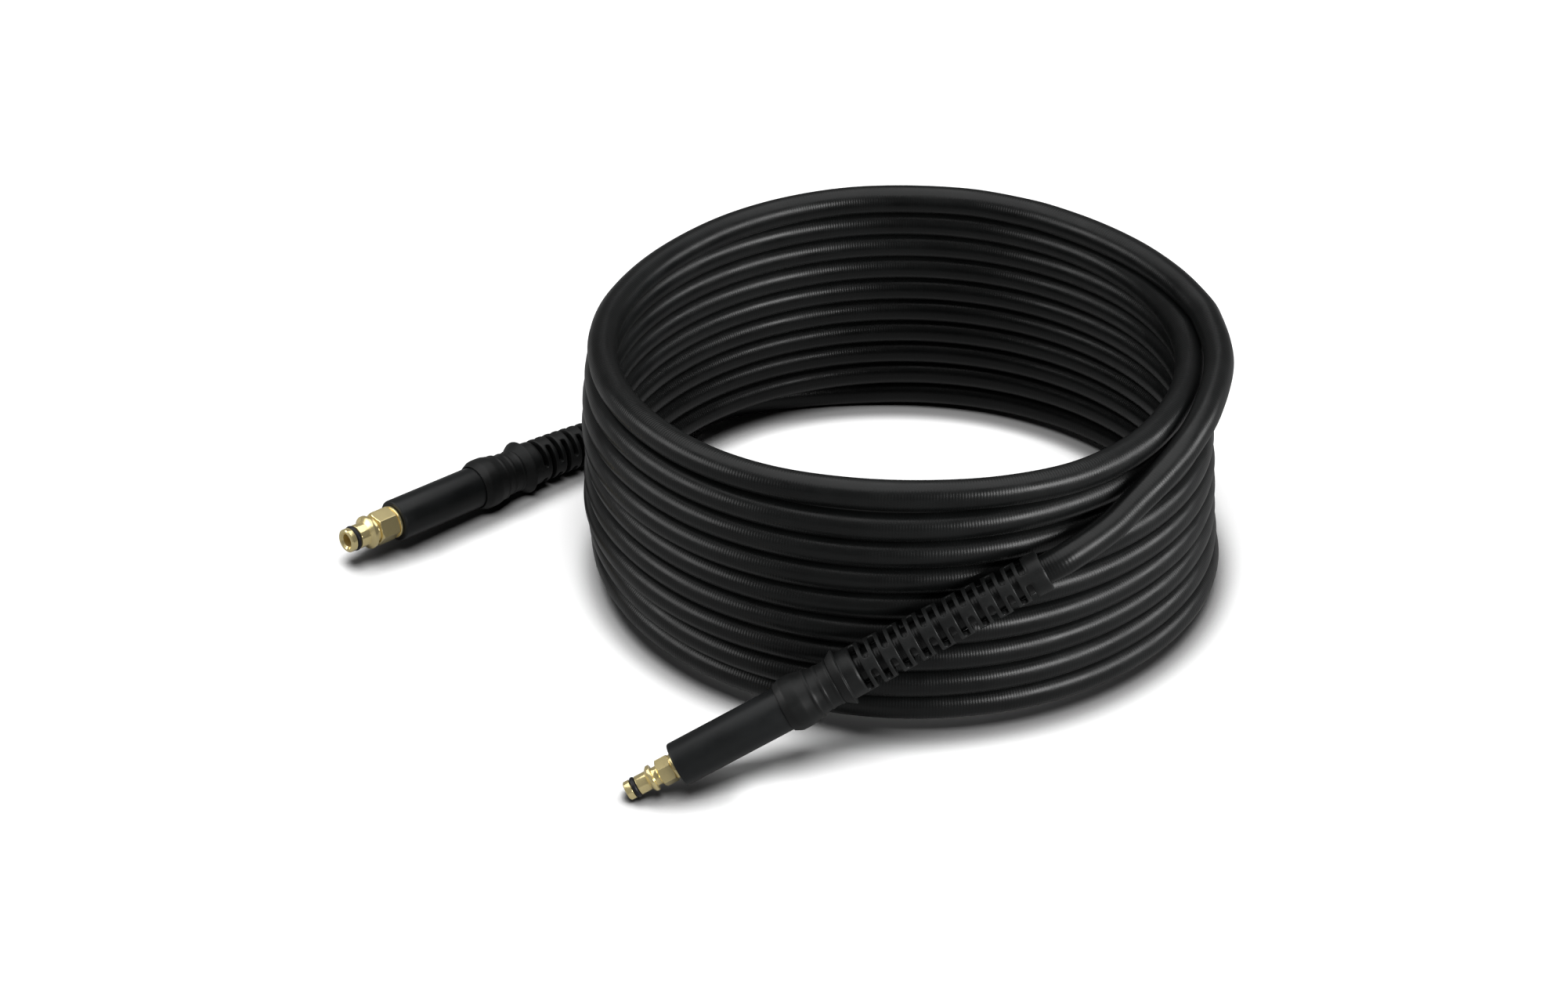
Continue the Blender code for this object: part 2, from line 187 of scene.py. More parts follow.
# The two nipples' own sizes: the front one is the slimmer of the two
NIPPLES = {
    "front": {
        "nose": 3.95 * MM,
        "groove": 2.2 * MM,
        "seal_wire": 1.0 * MM,
        "barrel": 3.95 * MM,
        "flange": 5.5 * MM,
        "neck": 3.85 * MM,
        "across_flats": 10.2 * MM,
        "hexagon": 6.1 * MM,
        "flat_turn": math.radians(15),
        "shoulder": 5.3 * MM,
        "bore": 1.5 * MM,
        "bore_chamfer": 0.5 * MM,
    },
    "rear": {
        "nose": 5.2 * MM,
        "groove": 3.55 * MM,
        "seal_wire": 0.95 * MM,
        "barrel": 5.3 * MM,
        "flange": 7.4 * MM,
        "neck": 5.1 * MM,
        "across_flats": 13.0 * MM,
        "hexagon": 9.7 * MM,
        "flat_turn": 0.0,
        "shoulder": 7.1 * MM,
        "bore": 2.9 * MM,
        "bore_chamfer": 0.9 * MM,
    },
}

# Grip sleeve
SLEEVE_GAP = 0.3 * MM
FRONT_SLEEVE_LENGTH = 57.3 * MM
SLEEVE_END = SHANK_START + SLEEVE_GAP + FRONT_SLEEVE_LENGTH
SLEEVE_RADIUS = 9.2 * MM
SLEEVE_BORE_RADIUS = 6.5 * MM
SLEEVE_MOUTH_RADIUS = 5.5 * MM
SLEEVE_LIP_LENGTH = 3.0 * MM
SLEEVE_FRONT_ROUND = 0.9 * MM
SLEEVE_BACK_ROUND = 0.4 * MM
SLEEVE_SEGMENTS = 72

# Bend protector
BOOT_FRONT = SLEEVE_END - 9.3 * MM
SOCKET_RADIUS = 9.5 * MM
SOCKET_CLEARANCE = 0.3 * MM
SOCKET_END = SLEEVE_END + SOCKET_CLEARANCE
BOOT_BORE_RADIUS = 6.5 * MM
COLLAR_START = BOOT_FRONT + 3.1 * MM
COLLAR_END = COLLAR_START + 5.3 * MM
WAIST_START = COLLAR_END + 7.6 * MM
FLARE_START = WAIST_START + 6.5 * MM
FLARE_END = FLARE_START + 4.5 * MM
FLARE_STEP = 0.3 * MM
TAPER_START = FLARE_END + FLARE_STEP
FIRST_SLOT = TAPER_START + 6.0 * MM
SLOT_WIDTH = 2.7 * MM
SLOT_PITCH = 4.3 * MM
SLOT_ROWS = 18
END_RING_START = FIRST_SLOT + SLOT_PITCH * (SLOT_ROWS - 1) + SLOT_WIDTH
BOOT_END = END_RING_START + 7.0 * MM
LEAD_RADIUS = 9.95 * MM
COLLAR_RADIUS = 11.3 * MM
WAIST_RADIUS = 9.25 * MM
FLARE_RADIUS = 12.0 * MM
TAPER_RADIUS = 10.0 * MM
END_RING_RADIUS = 8.5 * MM
RAISED_RING_PLACES = (5.2 * MM, 9.9 * MM, 14.5 * MM)
RAISED_RING_HALF = 0.45 * MM
RAISED_RING_FOOT = 1.6 * RAISED_RING_HALF
RAISED_RING_HEIGHT = 0.3 * MM
RAISED_RING_SHIFT = 0.6 * MM
BOOT_SEGMENTS = 24
SLOT_SEGMENTS = 10
SUBDIVISION_LEVELS = 2
# A round shell with this many sides shrinks by this share when it is subdivided
BOOT_ROUND_SHARE = (2 + math.cos(math.tau / BOOT_SEGMENTS)) / 3
RIM_CREASE = 0.6
# How far each bend protector has turned aside at its end, to the right of its own way back
BOOT_BENDS = {"front": 0.0, "rear": math.radians(17)}
STRAIGHT_RUN_OUT = 9.0 * MM
INSIDE_SPACING = 16.0 * MM
SHANK_END = SHANK_START + SLEEVE_GAP + SHANK_LENGTH
HOSE_CLEARANCE = 0.3 * MM
HOSE_START = SHANK_END + HOSE_CLEARANCE


class HoseSettings(bpy.types.PropertyGroup):
    """Sizes and colour of the hose and its coil."""

    length: bpy.props.FloatProperty(
        name="Length", description="Length of the hose, end to end", default=8.0, unit="LENGTH"
    )
    diameter: bpy.props.FloatProperty(
        name="Diameter", description="Outer diameter of the hose", default=12.4 * MM, unit="LENGTH"
    )
    turn_pitch: bpy.props.FloatProperty(
        name="Turn pitch", description="Rise of the coil in one turn", default=12.5 * MM, unit="LENGTH"
    )
    foot_radius: bpy.props.FloatProperty(
        name="Foot radius", description="Radius of the bottom turn", default=130.4 * MM, unit="LENGTH"
    )
    top_radius: bpy.props.FloatProperty(
        name="Top radius", description="Radius of the top turn", default=123.0 * MM, unit="LENGTH"
    )
    oval: bpy.props.FloatProperty(
        name="Oval", description="How far the turns are drawn out of round", default=1.27 * MM, unit="LENGTH"
    )
    tilt: bpy.props.FloatProperty(
        name="Tilt", description="How far the top turn is raised on one side", default=2.48 * MM,
        unit="LENGTH",
    )
    unevenness: bpy.props.FloatProperty(
        name="Unevenness", description="How strongly single turns lie out of the even coil", default=1.0
    )
    color: bpy.props.FloatVectorProperty(
        name="Cover colour", description="Colour of the rubber cover", size=3, min=0, max=1,
        default=(0.005, 0.0054, 0.0054), subtype="COLOR",
    )
    mark_spacing: bpy.props.FloatProperty(
        name="Mark spacing", description="Distance between the cross-wise cloth marks", default=1.2 * MM,
        unit="LENGTH",
    )


class FittingSettings(bpy.types.PropertyGroup):
    """How the two fittings are turned about their axes, and their colours."""

    front_roll: bpy.props.FloatProperty(
        name="Front roll", description="Turn of the front fitting about its own axis",
        default=math.radians(-36), subtype="ANGLE",
    )
    rear_roll: bpy.props.FloatProperty(
        name="Rear roll", description="Turn of the rear fitting about its own axis",
        default=math.radians(-82), subtype="ANGLE",
    )
    boot_color: bpy.props.FloatVectorProperty(
        name="Bend protector colour", description="Colour of the moulded bend protectors", size=3,
        min=0, max=1, default=(0.008, 0.0085, 0.0085), subtype="COLOR",
    )
    grip_color: bpy.props.FloatVectorProperty(
        name="Grip sleeve colour", description="Colour of the grip sleeves", size=3, min=0, max=1,
        default=(0.0095, 0.0104, 0.0108), subtype="COLOR",
    )
    brass_color: bpy.props.FloatVectorProperty(
        name="Brass colour", description="Colour of the bright brass", size=3, min=0, max=1,
        default=(1.0, 0.84, 0.43), subtype="COLOR",
    )
    seal_color: bpy.props.FloatVectorProperty(
        name="O-ring colour", description="Colour of the O-rings", size=3, min=0, max=1,
        default=(0.012, 0.0115, 0.014), subtype="COLOR",
    )


class StageSettings(bpy.types.PropertyGroup):
    """Camera, floor and lights."""

    camera_place: bpy.props.FloatVectorProperty(
        name="Camera place", description="Where the camera stands, from the foot of the coil's axis", size=3,
        default=(-0.048, -1.4158, 0.9234), subtype="XYZ", unit="LENGTH",
    )
    camera_pitch: bpy.props.FloatProperty(
        name="Camera pitch", description="How far the camera looks down", default=math.radians(32.04),
        subtype="ANGLE",
    )
    camera_reach: bpy.props.FloatProperty(
        name="Camera reach", description="Focal length as a number of the photograph's pixels", default=5000.0
    )
    floor_size: bpy.props.FloatProperty(
        name="Floor size", description="Side of the square floor", default=6.0, unit="LENGTH"
    )
    # The contact shadow is painted shade: the floor's colour darkens where little open air lies above it
    contact_shadow: bpy.props.FloatProperty(
        name="Contact shadow", description="How far the shadow spreads where things touch the floor",
        default=0.018, unit="LENGTH",
    )
    floor_light: bpy.props.FloatProperty(
        name="Floor light", description="Brightness of the light from above that falls on the floor alone",
        default=10.0,
    )
    floor_light_spread: bpy.props.FloatProperty(
        name="Floor light spread", description="How wide the floor's own light is, which softens its shadows",
        default=math.radians(30), subtype="ANGLE",
    )
    overhead_light: bpy.props.FloatProperty(
        name="Overhead light", description="Brightness of the large soft light overhead", default=1.6
    )
    front_right_light: bpy.props.FloatProperty(
        name="Front right light", description="Brightness of the wide soft light in front on the right",
        default=13.0,
    )
    right_light: bpy.props.FloatProperty(
        name="Right light", description="Brightness of the soft light on the right", default=7.0
    )
    left_light: bpy.props.FloatProperty(
        name="Left light", description="Brightness of the soft light on the left", default=4.0
    )
    surround: bpy.props.FloatProperty(
        name="Surround", description="Brightness of the room around", default=0.12
    )


def coil_axis():
    """The foot of the coil's axis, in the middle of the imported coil."""
    low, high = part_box("hose_coil")
    return Vector(((low.x + high.x) / 2, (low.y + high.y) / 2, 0))


def fitting_direction(end):
    """Which way a fitting points, back from its nose."""
    for mount in frame["record"]["mounts"]:
        if mount["name"] == f"{end}_nose_face":
            return -Vector(mount["axis"]).normalized()
    raise RuntimeError(f"the record has no {end}_nose_face")


def fitting_place(end):
    """The place of a fitting: its nose is the origin, +X is its axis, and its O-ring gives the distance."""
    direction = fitting_direction(end)
    low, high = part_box(f"{end}_o_ring")
    nose = (low + high) / 2 - direction * SEAL_MIDDLE
    fittings = bpy.context.scene.hose_fittings
    roll = {"front": fittings.front_roll, "rear": fittings.rear_roll}[end]
    heading = math.atan2(direction.y, direction.x)
    return Matrix.Translation(nose) @ Euler((roll, -math.asin(direction.z), heading)).to_matrix().to_4x4()


def spin_outline(points, segments):
    """Spin a closed outline of (distance from the nose, radius) all the way round the X axis."""
    bm = bmesh.new()
    corners = [bm.verts.new((x, radius, 0)) for x, radius in points]
    for first, second in zip(corners, corners[1:] + corners[:1]):
        bm.edges.new((first, second))
    bmesh.ops.spin(
        bm,
        geom=bm.verts[:] + bm.edges[:],
        cent=(0, 0, 0),
        axis=(1, 0, 0),
        angle=math.tau,
        steps=segments,
        use_merge=True,
    )
    bmesh.ops.remove_doubles(bm, verts=bm.verts, dist=MERGE_DISTANCE)
    bmesh.ops.recalc_face_normals(bm, faces=bm.faces)
    return bm


def round_corner(x, radius, size, start, end, steps=4):
    """Points of a quarter arc that rounds a corner, from one angle in degrees to another about its centre."""
    turns = [math.radians(start + (end - start) * step / steps) for step in range(steps + 1)]
    return [(x + size * math.cos(turn), radius + size * math.sin(turn)) for turn in turns]


def unroll_along_axis(bm):
    """Give a turned piece a UV map of distance along its axis and turn about it."""
    layer = bm.loops.layers.uv.new("UVMap")
    for face in bm.faces:
        for loop in face.loops:
            place = loop.vert.co
            loop[layer].uv = (place.x / UV_UNIT, math.atan2(place.z, place.y) / math.tau)


def finish_piece(name, bm, material, place, nodes, smooth_angle=32):
    """Put a mesh in its place, shade it and let it ride and stand for its nodes."""
    bm.transform(place)
    mesh = bpy.data.meshes.new(name)
    bm.to_mesh(mesh)
    bm.free()
    mesh.materials.append(material)
    mesh.shade_smooth()
    mesh.set_sharp_from_angle(angle=math.radians(smooth_angle))
    piece = bpy.data.objects.new(name, mesh)
    bpy.context.scene.collection.objects.link(piece)
    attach(piece, BODY)
    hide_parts(*nodes)
    return piece


def new_group(name, inputs, outputs):
    """A shader node group with named number inputs (name, default) and outputs, and a vector to read."""
    group = bpy.data.node_groups.new(name, "ShaderNodeTree")
    group.interface.new_socket("Vector", in_out="INPUT", socket_type="NodeSocketVector")
    for label, default in inputs:
        socket = group.interface.new_socket(label, in_out="INPUT", socket_type="NodeSocketFloat")
        socket.default_value = default
    for label in outputs:
        group.interface.new_socket(label, in_out="OUTPUT", socket_type="NodeSocketFloat")
    entry = group.nodes.new("NodeGroupInput")
    leave = group.nodes.new("NodeGroupOutput")
    return group, entry, leave


def add_math(tree, operation, first, second):
    """A Math node between two sockets or numbers."""
    node = tree.nodes.new("ShaderNodeMath")
    node.operation = operation
    for socket, value in zip(node.inputs, (first, second)):
        if isinstance(value, (int, float)):
            socket.default_value = value
        else:
            tree.links.new(value, socket)
    return node.outputs["Value"]


def add_noise(tree, vector, scale, detail=3.0, roughness=0.55):
    """A Noise Texture whose scale is a socket or a number."""
    node = tree.nodes.new("ShaderNodeTexNoise")
    node.inputs["Detail"].default_value = detail
    node.inputs["Roughness"].default_value = roughness
    tree.links.new(vector, node.inputs["Vector"])
    if isinstance(scale, (int, float)):
        node.inputs["Scale"].default_value = scale
    else:
        tree.links.new(scale, node.inputs["Scale"])
    return node.outputs["Fac"]


def moulded_grain_group():
    """Fine pits of a moulded surface, and slow cloudy patches on top of them."""
    name = "Moulded grain"
    if name in bpy.data.node_groups:
        return bpy.data.node_groups[name]
    inputs = [("Grain scale", 2200.0), ("Patch scale", 45.0)]
    group, entry, leave = new_group(name, inputs, ["Grain", "Patches"])
    grain = add_noise(group, entry.outputs["Vector"], entry.outputs["Grain scale"], 2.0, 0.6)
    patches = add_noise(group, entry.outputs["Vector"], entry.outputs["Patch scale"], 4.0, 0.6)
    group.links.new(grain, leave.inputs["Grain"])
    group.links.new(patches, leave.inputs["Patches"])
    return group


def cross_marks_group():
    """Marks that run round a hose or a turned piece: even ridges along U, broken up by noise."""
    name = "Cross marks"
    if name in bpy.data.node_groups:
        return bpy.data.node_groups[name]
    inputs = [("Marks along U", 100.0), ("Waver", 0.4)]
    group, entry, leave = new_group(name, inputs, ["Ridges", "Break-up"])
    split = group.nodes.new("ShaderNodeSeparateXYZ")
    group.links.new(entry.outputs["Vector"], split.inputs["Vector"])
    stretch = group.nodes.new("ShaderNodeCombineXYZ")
    across = add_math(group, "MULTIPLY", split.outputs["X"], entry.outputs["Marks along U"])
    group.links.new(add_math(group, "MULTIPLY", across, 0.35), stretch.inputs["X"])
    group.links.new(add_math(group, "MULTIPLY", split.outputs["Y"], 3.0), stretch.inputs["Y"])
    waver = add_noise(group, stretch.outputs["Vector"], 1.0, 3.0, 0.7)
    shift = add_math(group, "MULTIPLY", waver, entry.outputs["Waver"])
    phase = add_math(group, "MULTIPLY", add_math(group, "ADD", across, shift), math.tau)
    wave = add_math(group, "SINE", phase, 0.0)
    ridges = add_math(group, "MULTIPLY_ADD", wave, 0.5)
    ridges.node.inputs[2].default_value = 0.5
    patches = group.nodes.new("ShaderNodeCombineXYZ")
    group.links.new(add_math(group, "MULTIPLY", across, 0.08), patches.inputs["X"])
    group.links.new(add_math(group, "MULTIPLY", split.outputs["Y"], 6.0), patches.inputs["Y"])
    break_up = add_noise(group, patches.outputs["Vector"], 1.0, 3.0, 0.6)
    group.links.new(ridges, leave.inputs["Ridges"])
    group.links.new(break_up, leave.inputs["Break-up"])
    return group


def new_material(name):
    """A material with its Principled shader, and the tree to add to."""
    material = bpy.data.materials.new(name)
    material.use_nodes = True
    return material, material.node_tree, material.node_tree.nodes["Principled BSDF"]


def add_group(tree, group, vector, values):
    """Place a node group, feed it its vector and set its values by their labels."""
    node = tree.nodes.new("ShaderNodeGroup")
    node.node_tree = group
    tree.links.new(vector, node.inputs["Vector"])
    for label, value in values.items():
        node.inputs[label].default_value = value
    return node


def add_grain(tree, texture, grain_scale, patch_scale):
    """Place the moulded grain, in the piece's own space."""
    values = {"Grain scale": grain_scale, "Patch scale": patch_scale}
    return add_group(tree, moulded_grain_group(), texture.outputs["Object"], values)


def add_cross_marks(tree, texture, marks_along, waver):
    """Place the cross marks, along the piece's UV map."""
    values = {"Marks along U": marks_along, "Waver": waver}
    return add_group(tree, cross_marks_group(), texture.outputs["UV"], values)


def add_range(tree, value, low, high, from_low=0.35, from_high=0.65):
    """A Map Range node that turns a mask into a value between two numbers."""
    node = tree.nodes.new("ShaderNodeMapRange")
    node.inputs["From Min"].default_value = from_low
    node.inputs["From Max"].default_value = from_high
    node.inputs["To Min"].default_value = low
    node.inputs["To Max"].default_value = high
    tree.links.new(value, node.inputs["Value"])
    return node.outputs["Result"]


def add_color_mix(tree, mask, first, second):
    """Mix two colours by a mask."""
    node = tree.nodes.new("ShaderNodeMix")
    node.data_type = "RGBA"
    node.inputs["A"].default_value = (*first, 1)
    node.inputs["B"].default_value = (*second, 1)
    tree.links.new(mask, node.inputs["Factor"])
    return node.outputs["Result"]


def add_bump(tree, height, strength, distance, normal=None):
    """A Bump node on top of an earlier one, if there is one."""
    node = tree.nodes.new("ShaderNodeBump")
    node.inputs["Strength"].default_value = strength
    node.inputs["Distance"].default_value = distance
    tree.links.new(height, node.inputs["Height"])
    if normal is not None:
        tree.links.new(normal, node.inputs["Normal"])
    return node.outputs["Normal"]


def scaled(color, share):
    """A colour made lighter or darker."""
    return tuple(min(1.0, part * share) for part in color)


def hose_rubber():
    """Matte black rubber with fine cross-wise marks of the cloth that it was cured in."""
    settings = bpy.context.scene.hose_settings
    material, tree, shader = new_material("hose_rubber")
    texture = tree.nodes.new("ShaderNodeTexCoord")
    marks = add_cross_marks(tree, texture, 1 / settings.mark_spacing, 0.9)
    grain = add_grain(tree, texture, 1500.0, 35.0)
    patches = add_range(tree, grain.outputs["Patches"], 0.0, 1.0)
    color = add_color_mix(tree, patches, scaled(settings.color, 0.8), scaled(settings.color, 1.35))
    tree.links.new(color, shader.inputs["Base Color"])
    tree.links.new(add_range(tree, marks.outputs["Break-up"], 0.28, 0.38), shader.inputs["Roughness"])
    shader.inputs["Specular IOR Level"].default_value = SOFT_SPECULAR
    broken = add_math(tree, "MULTIPLY", marks.outputs["Ridges"], marks.outputs["Break-up"])
    ridges = add_bump(tree, broken, 0.5, 0.12 * MM)
    tree.links.new(add_bump(tree, grain.outputs["Grain"], 0.3, 0.06 * MM, ridges), shader.inputs["Normal"])
    return material


def boot_plastic():
    """Soft black moulding, matte, with a fine grain."""
    color = bpy.context.scene.hose_fittings.boot_color
    material, tree, shader = new_material("boot_plastic")
    texture = tree.nodes.new("ShaderNodeTexCoord")
    grain = add_grain(tree, texture, 1800.0, 90.0)
    patches = add_range(tree, grain.outputs["Patches"], 0.0, 1.0)
    tint = add_color_mix(tree, patches, scaled(color, 0.85), scaled(color, 1.3))
    tree.links.new(tint, shader.inputs["Base Color"])
    tree.links.new(add_range(tree, grain.outputs["Patches"], 0.4, 0.52), shader.inputs["Roughness"])
    shader.inputs["Specular IOR Level"].default_value = SOFT_SPECULAR
    tree.links.new(add_bump(tree, grain.outputs["Grain"], 0.35, 0.05 * MM), shader.inputs["Normal"])
    return material


def grip_plastic():
    """Smooth black sleeve with a satin gloss."""
    color = bpy.context.scene.hose_fittings.grip_color
    material, tree, shader = new_material("grip_plastic")
    texture = tree.nodes.new("ShaderNodeTexCoord")
    grain = add_grain(tree, texture, 2600.0, 60.0)
    patches = add_range(tree, grain.outputs["Patches"], 0.0, 1.0)
    tint = add_color_mix(tree, patches, scaled(color, 0.9), scaled(color, 1.2))
    tree.links.new(tint, shader.inputs["Base Color"])
    tree.links.new(add_range(tree, grain.outputs["Patches"], 0.34, 0.44), shader.inputs["Roughness"])
    shader.inputs["Specular IOR Level"].default_value = SOFT_SPECULAR
    tree.links.new(add_bump(tree, grain.outputs["Grain"], 0.2, 0.03 * MM), shader.inputs["Normal"])
    return material


def turned_brass():
    """Turned brass with the fine rings that turning leaves, and slightly dulled patches."""
    color = bpy.context.scene.hose_fittings.brass_color
    material, tree, shader = new_material("turned_brass")
    shader.inputs["Metallic"].default_value = 0.75
    texture = tree.nodes.new("ShaderNodeTexCoord")
    marks = add_cross_marks(tree, texture, 55.0, 0.5)
    grain = add_grain(tree, texture, 900.0, 120.0)
    dulled = add_range(tree, grain.outputs["Patches"], 0.0, 1.0, 0.42, 0.75)
    tint = add_color_mix(tree, dulled, color, scaled(color, 0.86))
    tree.links.new(tint, shader.inputs["Base Color"])
    tree.links.new(add_range(tree, grain.outputs["Patches"], 0.14, 0.2), shader.inputs["Roughness"])
    tree.links.new(add_bump(tree, marks.outputs["Ridges"], 0.1, 0.006 * MM), shader.inputs["Normal"])
    return material


def seal_rubber():
    """Smooth black rubber with a thin film of oil."""
    color = bpy.context.scene.hose_fittings.seal_color
    material, tree, shader = new_material("seal_rubber")
    texture = tree.nodes.new("ShaderNodeTexCoord")
    grain = add_grain(tree, texture, 3000.0, 400.0)
    film = add_range(tree, grain.outputs["Patches"], 0.0, 1.0)
    tree.links.new(add_color_mix(tree, film, color, scaled(color, 1.5)), shader.inputs["Base Color"])
    tree.links.new(add_range(tree, grain.outputs["Patches"], 0.25, 0.42), shader.inputs["Roughness"])
    shader.inputs["Specular IOR Level"].default_value = SOFT_SPECULAR
    tree.links.new(add_bump(tree, grain.outputs["Grain"], 0.15, 0.02 * MM), shader.inputs["Normal"])
    return material


def floor_white(stage):
    """Floor that its own light makes plain white, with shade painted in where something stands on or near it.
    """
    material, tree, shader = new_material("floor_white")
    shader.inputs["Roughness"].default_value = 1.0
    shader.inputs["Specular IOR Level"].default_value = 0.0
    # Painted contact shadow: how open the floor is above it darkens its colour near anything on it or close
    # by
    openness = tree.nodes.new("ShaderNodeAmbientOcclusion")
    openness.samples = CONTACT_SAMPLES
    openness.inputs["Distance"].default_value = stage.contact_shadow
    contact = add_range(tree, openness.outputs["AO"], FLOOR_SHADED, FLOOR_SEEN, *CONTACT_OPENNESS)
    contact.node.interpolation_type = "SMOOTHSTEP"
    path = tree.nodes.new("ShaderNodeLightPath")
    mix = tree.nodes.new("ShaderNodeMix")
    mix.inputs["A"].default_value = FLOOR_MIRRORED
    tree.links.new(path.outputs["Is Camera Ray"], mix.inputs["Factor"])
    tree.links.new(contact, mix.inputs["B"])
    tree.links.new(mix.outputs["Result"], shader.inputs["Base Color"])
    return material


def coil_point(turns):
    """A point on the hose's line in the coil, this many turns up from the foot."""
    hose = bpy.context.scene.hose_settings
    turn = math.radians(FIRST_ANGLE - 360 * turns)
    middle = FULL_TURNS / 2
    share = (turns - middle) / middle
    reach = (hose.foot_radius + hose.top_radius) / 2 + (hose.top_radius - hose.foot_radius) / 2 * share
    reach += hose.oval * math.cos(2 * (turn - math.radians(OVAL_ANGLE)))
    height = hose.diameter / 2 + hose.turn_pitch * turns
    height += hose.tilt * turns / FULL_TURNS * math.cos(turn - math.radians(TILT_ANGLE))
    for place, spread, out, up in UNEVEN_PLACES:
        strength = hose.unevenness * math.exp(-(((turns - place) / spread) ** 2))
        reach += strength * out * MM
        height += strength * up * MM
    across = reach * math.cos(turn) + LEAN[0] * share
    along = reach * math.sin(turn) + LEAN[1] * share
    return Vector((across, along, height))


def lay_points(route):
    """Points of a given route about the coil's axis."""
    points = []
    for angle, reach, height in route:
        turn = math.radians(angle)
        points.append(Vector((reach * math.cos(turn), reach * math.sin(turn), height)) * MM)
    return points


def bend_aside(end, place, point):
    """Bend a point of a fitting level aside with its bend protector, along one even curve."""
    run = BOOT_END - TAPER_START
    past = point.x - TAPER_START
    if past <= 0 or BOOT_BENDS[end] == 0:
        return point.copy()
    direction = fitting_direction(end)
    aside = place.to_3x3().transposed() @ Vector((direction.y, -direction.x, 0)).normalized()
    turn = BOOT_BENDS[end] * min(1.0, past / run)
    beyond = max(0.0, past - run)
    curve_radius = run / BOOT_BENDS[end]
    off = point.dot(aside)
    along = TAPER_START + (curve_radius - off) * math.sin(turn) + beyond * math.cos(turn)
    across = curve_radius - (curve_radius - off) * math.cos(turn) + beyond * math.sin(turn)
    return point + Vector((along - point.x, 0, 0)) + aside * (across - off)


def inside_points(end):
    """The stretch of hose in a fitting, from its shank to just past the bend protector."""
    place = fitting_place(end)
    run = BOOT_END - TAPER_START
    count = round(run / INSIDE_SPACING)
    stations = [HOSE_START, (HOSE_START + TAPER_START) / 2]
    stations += [TAPER_START + run * step / count for step in range(count + 1)]
    stations.append(BOOT_END + STRAIGHT_RUN_OUT)
    return [place @ bend_aside(end, place, Vector((x, 0, 0))) for x in stations]


def hose_route():
    """The hose's whole line from the rear fitting through the coil to the front fitting."""
    axis = coil_axis()
    count = round((COIL_LEAVE_TURNS - COIL_JOIN_TURNS) * POINTS_PER_TURN)
    step = (COIL_LEAVE_TURNS - COIL_JOIN_TURNS) / count
    turns = [axis + coil_point(COIL_JOIN_TURNS + step * index) for index in range(count + 1)]
    rear = inside_points("rear") + [axis + point for point in lay_points(REAR_ROUTE)]
    front = [axis + point for point in lay_points(FRONT_ROUTE)] + inside_points("front")[::-1]
    return rear + turns + front


def even_line(points, spacing):
    """Points at even distances along a smooth curve through the given points."""
    ends = [points[0] * 2 - points[1]] + points + [points[-1] * 2 - points[-2]]
    fine = []
    for before, start, end, after in zip(ends, ends[1:], ends[2:], ends[3:]):
        span = (end - start).length
        out_way = (end - before).normalized() * span / 3
        in_way = (after - start).normalized() * span / 3
        fine += geometry.interpolate_bezier(start, start + out_way, end - in_way, end, POINTS_PER_SPAN)[:-1]
    fine.append(points[-1])
    lengths = [(second - first).length for first, second in zip(fine, fine[1:])]
    total = sum(lengths)
    count = round(total / spacing)
    line = [fine[0]]
    passed = 0.0
    for first, second, length in zip(fine, fine[1:], lengths):
        while len(line) < count and len(line) * total / count <= passed + length:
            line.append(first.lerp(second, (len(line) * total / count - passed) / length))
        passed += length
    line.append(fine[-1])
    return line, total


def make_hose(material):
    """One round tube along the whole line, with a UV map whose U is the distance in metres."""
    settings = bpy.context.scene.hose_settings
    line, total = even_line(hose_route(), POINT_SPACING)
    curve = bpy.data.curves.new("hose_line", "CURVE")
    curve.dimensions = "3D"
    curve.bevel_depth = settings.diameter / 2
    curve.bevel_resolution = HOSE_BEVEL_RESOLUTION
    curve.use_fill_caps = True
    curve.twist_mode = "MINIMUM"
    spline = curve.splines.new("POLY")
    spline.points.add(len(line) - 1)
    for point, place in zip(spline.points, line):
        point.co = (*place, 1.0)
    drawn = bpy.data.objects.new("hose_line", curve)
    bpy.context.scene.collection.objects.link(drawn)
    bpy.context.view_layer.update()
    mesh = bpy.data.meshes.new_from_object(drawn.evaluated_get(bpy.context.evaluated_depsgraph_get()))
    bpy.data.objects.remove(drawn)
    mesh.name = "hose"
    for corner in mesh.uv_layers[0].data:
        corner.uv.x *= total
    mesh.materials.clear()
    mesh.materials.append(material)
    mesh.shade_smooth()
    hose = bpy.data.objects.new("hose", mesh)
    bpy.context.scene.collection.objects.link(hose)
    return hose, line


